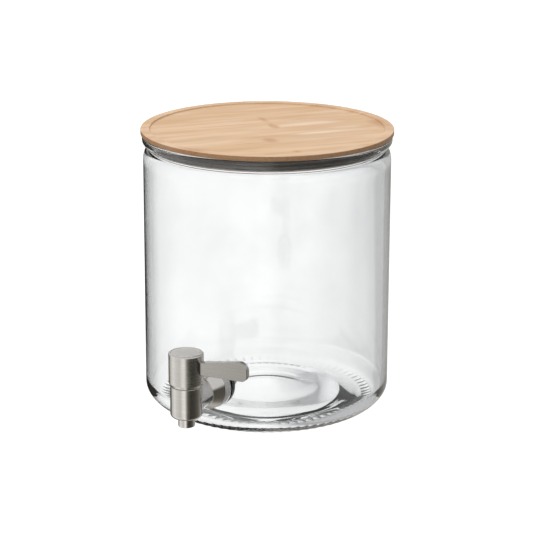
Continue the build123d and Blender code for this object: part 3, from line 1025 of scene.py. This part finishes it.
    def _drill(self, jar: bpy.types.Object) -> None:
        """Cut the tap's hole through the front wall.

        Args:
            jar: the turned jar.
        """
        near, far = self.inner_r - self.drill_past, self.wall_r + self.drill_past
        bit = turned("hole", [(0, near), (self.hole_r, near), (self.hole_r, far), (0, far)], 64)
        along_tap(bit, self.shank_z)
        carve(jar, bit, "DIFFERENCE")
        jar.data.polygons.foreach_set("use_smooth", [True] * len(jar.data.polygons))
        crease(jar, 50)


@dataclass
class Lid:
    """The bamboo board with its plug, and the finned seal round the plug."""

    board_r: float = 91.7 * MM
    board_low: float = 206.85 * MM
    board_top: float = 210.5 * MM
    edge_round: float = 0.55 * MM
    recess_r: float = 85.2 * MM
    recess_depth: float = 1.2 * MM
    plug_r: float = 79.4 * MM
    plug_low: float = 199.2 * MM
    groove_r: float = 76.6 * MM
    groove: Point = (200.9 * MM, 205.3 * MM)
    fin_r: float = 81.6 * MM
    fin_thick: float = 0.7 * MM
    fins: int = 3
    fin_gap: float = 0.02 * MM
    segments: int = 288
    warp: float = 0.05 * MM

    def board(self) -> bpy.types.Object:
        """The board, with its recess on top and its grooved plug below.

        Returns:
            The board.
        """
        recess_z = self.board_top - self.recess_depth
        low, high = self.groove
        bottom, pole = (0.0, self.plug_low), (0.0, recess_z)
        corners = [
            ((self.plug_r, self.plug_low), 0.8), ((self.plug_r, low), 0.1),
            ((self.groove_r, low), 0.1), ((self.groove_r, high), 0.1),
            ((self.plug_r, high), 0.1), ((self.plug_r, self.board_low), 0.1),
            ((self.board_r, self.board_low), self.edge_round / MM),
            ((self.board_r, self.board_top), self.edge_round / MM),
            ((self.recess_r, self.board_top), 0.32),
            ((self.recess_r - 0.4 * MM, recess_z), 0.35), (pole, 0.0), (bottom, 0.0),
        ]
        outline = rounded([corner for corner, _ in corners], [r * MM for _, r in corners], 5)
        rounds = outline[:-2]
        start, end = straight(bottom, rounds[0], 14), straight(rounds[-1], pole, 14)
        board = turned("lid_board", [bottom, *start, *rounds, *end, pole], self.segments)
        for vertex in board.data.vertices:
            x, y, z = vertex.co
            if z > self.board_low + 0.5 * MM and math.hypot(x, y) < self.recess_r - 2.0 * MM:
                vertex.co.z += self.warp * noise.noise(Vector((x * 30.0, y * 30.0, z * 8.0)))
        crease(board, 38)
        return board

    def seal(self) -> bpy.types.Object:
        """The seal: a band in the plug's groove with drooping, thin-edged fins.

        Returns:
            The seal.
        """
        low, high = self.groove
        band_r = self.plug_r + 0.2 * MM
        tip = self.fin_thick * 0.32
        tip_r = self.fin_r - tip
        pitch = (high - low - self.fin_thick) / (self.fins - 1)
        outline: list[Point] = [(self.groove_r, low + self.fin_gap)]
        for number in range(self.fins):
            base = low + number * pitch + self.fin_gap
            tip_z = base + 0.08 * MM
            fin_top = base + self.fin_thick
            outline += [(band_r + 0.4 * MM, base), (tip_r, tip_z)]
            outline += arc((tip_r, tip_z + tip), (tip, tip), -60, 90, 5)
            outline.append((band_r + 0.5 * MM, fin_top - 0.04 * MM))
            if number < self.fins - 1:
                outline.append((band_r, fin_top + 0.15 * MM))
                outline.append((band_r, base + pitch - 0.15 * MM))
        outline.append((self.groove_r, high - self.fin_gap))
        seal = turned("lid_seal_ring", outline, self.segments)
        crease(seal, 55)
        return seal


@dataclass
class Tap:
    """The tap's fixed half and the clamp through the wall; its CAD nodes carry their shapes."""

    shank_z: float = 43.0 * MM
    barrel_y: float = -131.0 * MM

    def dress(self) -> None:
        """Give the fixed nodes their finishes."""
        centre = (0.0, self.barrel_y, 0.0)
        shank = (0.0, 0.0, self.shank_z)
        barrel = SatinMetal("satin_nickel_barrel", roughness=0.12, centre=centre).material()
        collar = SatinMetal(
            "satin_nickel_collar", roughness=0.13, brush=Brush.AROUND_SHANK, centre=shank).material()
        dress_nodes(barrel, "tap_body", "outlet_nozzle")
        dress_nodes(collar, "flange_ring", "threaded_shank")
        dress_nodes(Silicone().material(), "outer_washer", "inner_washer")
        nylon = MouldedPlastic("white_nylon", (0.80, 0.80, 0.78), 0.38).material()
        dress_nodes(nylon, "nut_washer", "lock_nut", "valve_liner", "thrust_washer")
        rubber = MouldedPlastic("grey_rubber", (0.09, 0.09, 0.095), 0.55).material()
        dress_nodes(rubber, "shank_gasket", "port_seal", "stem_ring_seals")
        steel = SatinMetal(
            "steel_hardware", colour=(0.56, 0.56, 0.565), roughness=0.3, centre=centre).material()
        dress_nodes(steel, "retaining_ring", "stop_pin", "valve_rotor", "cap_screw",
                    "screw_washer", "lever_set_screw")


@dataclass
class TapHandle:
    """The turning cap, its cover disc and the lever."""

    barrel_y: float = -131.0 * MM

    def dress(self) -> None:
        """Give the turning nodes their finishes."""
        centre = (0.0, self.barrel_y, 0.0)
        cap = SatinMetal("satin_nickel_cap", roughness=0.21, centre=centre)
        dress_nodes(cap.material(), "turning_cap")
        top = SatinMetal("satin_nickel_disc", roughness=0.3, centre=centre)
        dress_nodes(top.material(), "cap_disc")
        lever = SatinMetal(
            "satin_nickel_lever", colour=(0.41, 0.393, 0.371), brush=Brush.ALONG_LEVER, centre=centre)
        dress_nodes(lever.material(), "lever")


@dataclass
class Lamp:
    """One soft, square lamp: its place in the camera's directions, its width and its power.

    The place is in metres along the camera's right, towards the camera and up.
    """

    name: str
    side: float
    back: float
    up: float
    size: float
    watts: float


@dataclass
class Studio:
    """The camera, the pale floor and the soft light round the object.

    Each of the stripes is a turn in degrees about the upright axis and the grey level that the
    metal mirrors there. Each stop of behind is a place along the camera's right, from -0.5 to 0.5,
    and the grey level that is seen there through the glass.
    """

    camera_turn: float = math.radians(25.0)
    camera_reach: float = 1.4742
    camera_height: float = 0.5404
    camera_side: float = -0.0003
    camera_pitch: float = math.radians(16.44)
    camera_roll: float = math.radians(0.155)
    lens: float = 140.8
    floor_half: float = 30.0
    floor_z: float = -0.2 * MM
    aim_z: float = 120.0 * MM
    overhead: Colour = (0.86, 0.87, 0.88)
    matt_level: float = 0.52
    backdrop_level: float = 1.02
    warmth: float = 0.16
    coolness: float = 0.03
    stripes: tuple[Point, ...] = (
        (-180.0, 0.06), (-158.0, 0.04), (-136.0, 0.15), (-118.0, 0.80), (-90.0, 1.10),
        (-70.0, 0.92), (-55.0, 0.84), (-40.0, 0.78), (-25.0, 1.12), (-10.0, 1.25),
        (0.0, 0.62), (8.0, 0.20), (18.0, 0.10), (34.0, 0.05), (62.0, 0.07),
        (84.0, 0.12), (104.0, 0.22), (125.0, 0.50), (150.0, 0.62), (180.0, 0.40),
    )
    behind: tuple[Point, ...] = (
        (-0.5, 0.95), (-0.19, 0.97), (-0.06, 1.05), (0.03, 1.05), (0.06, 0.96), (0.10, 0.84),
        (0.15, 0.70), (0.19, 0.45), (0.25, 0.48), (0.30, 0.55), (0.5, 0.55),
    )
    lamps: tuple[Lamp, ...] = (
        Lamp("key", -0.9, 0.7, 1.5, 1.2, 16.0),
        Lamp("top", 0.1, -0.3, 1.7, 1.6, 14.0),
    )

    def _right(self) -> Vector:
        """The camera's right, level with the floor."""
        return Vector((math.cos(self.camera_turn), math.sin(self.camera_turn), 0.0))

    def _back(self) -> Vector:
        """From the object towards the camera, level with the floor."""
        return Vector((math.sin(self.camera_turn), -math.cos(self.camera_turn), 0.0))

    def camera(self) -> None:
        """Place the camera."""
        data = bpy.data.cameras.new("camera")
        data.lens = self.lens
        data.clip_end = 200.0
        eye = bpy.data.objects.new("camera", data)
        place = self._back() * self.camera_reach + self._right() * self.camera_side
        eye.location = (place.x, place.y, self.camera_height)
        turn = Matrix.Rotation(self.camera_turn, 4, "Z")
        tilt = Matrix.Rotation(math.pi / 2 - self.camera_pitch, 4, "X")
        roll = Matrix.Rotation(self.camera_roll, 4, "Z")
        eye.rotation_euler = (turn @ tilt @ roll).to_euler()
        bpy.context.scene.collection.objects.link(eye)
        bpy.context.scene.camera = eye

    def floor(self) -> None:
        """Lay the pale floor, which glows so that it stays evenly white."""
        mesh = bmesh.new()
        half = self.floor_half
        signs = ((-1, -1), (1, -1), (1, 1), (-1, 1))
        mesh.faces.new([mesh.verts.new((x * half, y * half, self.floor_z)) for x, y in signs])
        floor = finished("floor", mesh)
        material = open_material(
            "pale_floor", Base_Color=(0.12, 0.12, 0.12, 1.0), Roughness=0.9,
            Emission_Color=(1.0, 1.0, 1.0, 1.0), Emission_Strength=1.0)[0]
        floor.data.materials.append(material)
        for ray in ("visible_glossy", "visible_transmission", "visible_diffuse", "visible_shadow"):
            setattr(floor, ray, False)

    def light(self) -> None:
        """Hang the soft lamps that light matt surfaces."""
        for plan in self.lamps:
            data = bpy.data.lights.new(plan.name, "AREA")
            data.size = plan.size
            data.energy = plan.watts
            lamp = bpy.data.objects.new(plan.name, data)
            level = self._right() * plan.side + self._back() * plan.back
            lamp.location = level + Vector((0.0, 0.0, plan.up))
            aim = Vector((0.0, 0.0, self.aim_z)) - lamp.location
            lamp.rotation_euler = aim.to_track_quat("-Z", "Y").to_euler()
            for ray in ("visible_camera", "visible_glossy", "visible_transmission"):
                setattr(lamp, ray, False)
            bpy.context.scene.collection.objects.link(lamp)

    def world(self) -> None:
        """Surround the object with white, a striped light that metal mirrors, and glass's own."""
        world = bpy.data.worlds.new("studio")
        bpy.context.scene.world = world
        world.use_nodes = True
        tree = Tree(world.node_tree)
        way = tree.add("TexCoord").outputs["Generated"]
        parts = []
        for axis in (self._right(), self._back()):
            dot = tree.add("VectorMath", operation="DOT_PRODUCT")
            tree.feed(dot, 0, way)
            tree.feed(dot, 1, tuple(axis))
            parts.append(dot.outputs["Value"])
        split = tree.add("SeparateXYZ")
        tree.feed(split, 0, way)
        around = tree.math("ARCTAN2", parts[0], parts[1])
        turned_share = tree.math("MULTIPLY_ADD", around, 0.5 / math.pi, 0.5)
        stripes = self._ramp(
            tree, turned_share, [((turn + 180.0) / 360.0, level) for turn, level in self.stripes],
            self.warmth)
        high = tree.mix(tree.spread(split.outputs[2], -0.02, 0.24), stripes, self.overhead)
        through = self._ramp(
            tree, tree.math("ADD", parts[0], 0.5),
            [(side + 0.5, level) for side, level in self.behind], -self.coolness)
        rays = tree.add("LightPath")
        colour = tree.mix(rays.outputs["Is Glossy Ray"], (self.matt_level,) * 3, high)
        colour = tree.mix(rays.outputs["Is Transmission Ray"], colour, through)
        colour = tree.mix(rays.outputs["Is Camera Ray"], colour, (self.backdrop_level,) * 3)
        back = tree.add("Background")
        tree.feed(back, "Color", colour)
        output = tree.add("OutputWorld")
        tree.feed(output, "Surface", back.outputs[0])
        world.cycles.sampling_method = "NONE"

    def _ramp(self, tree: Tree, place: object, stops: list[Point], tint: float) -> object:
        """Turn a value into a grey that follows a list of stops.

        Args:
            tree: the world's tree.
            place: the value, from 0 to 1.
            stops: place and grey level of each stop, in order.
            tint: warmth of the darkest grey; a negative one is cool, and white has none.

        Returns:
            The colour's socket.
        """
        node = tree.add("ValToRGB")
        ramp = node.color_ramp
        ramp.interpolation = "EASE"
        while len(ramp.elements) < len(stops):
            ramp.elements.new(0.5)
        for element, (where, level) in zip(ramp.elements, stops):
            warm = tint * (1.0 - min(level, 1.0))
            element.position = where
            element.color = (level * (1.0 + 0.3 * warm), level, level * (1.0 - warm), 1.0)
        tree.feed(node, 0, place)
        return node.outputs[0]


def main() -> None:
    """Build the object piece by piece, then its studio."""
    logging.basicConfig(level=logging.INFO, format="%(name)s %(message)s")
    scene = bpy.context.scene
    scene.view_settings.view_transform = "Standard"
    scene.cycles.max_bounces = 28
    scene.cycles.transmission_bounces = 26
    scene.cycles.caustics_reflective = False
    place_piece(GlassJar().build(), Body.JAR, Slot.GLASS, PressedGlass().material(), "glass_jar")
    lid = Lid()
    place_piece(lid.board(), Body.LID, Slot.BAMBOO, Bamboo().material(), "bamboo_lid")
    milky = Silicone("silicone_seal", body=(0.34, 0.30, 0.24), roughness=0.2, through=0.5)
    place_piece(lid.seal(), Body.LID, Slot.SILICONE, milky.material(), "lid_seal")
    Tap().dress()
    TapHandle().dress()
    studio = Studio()
    studio.camera()
    studio.floor()
    studio.world()
    studio.light()


if __name__ == "__main__":
    main()
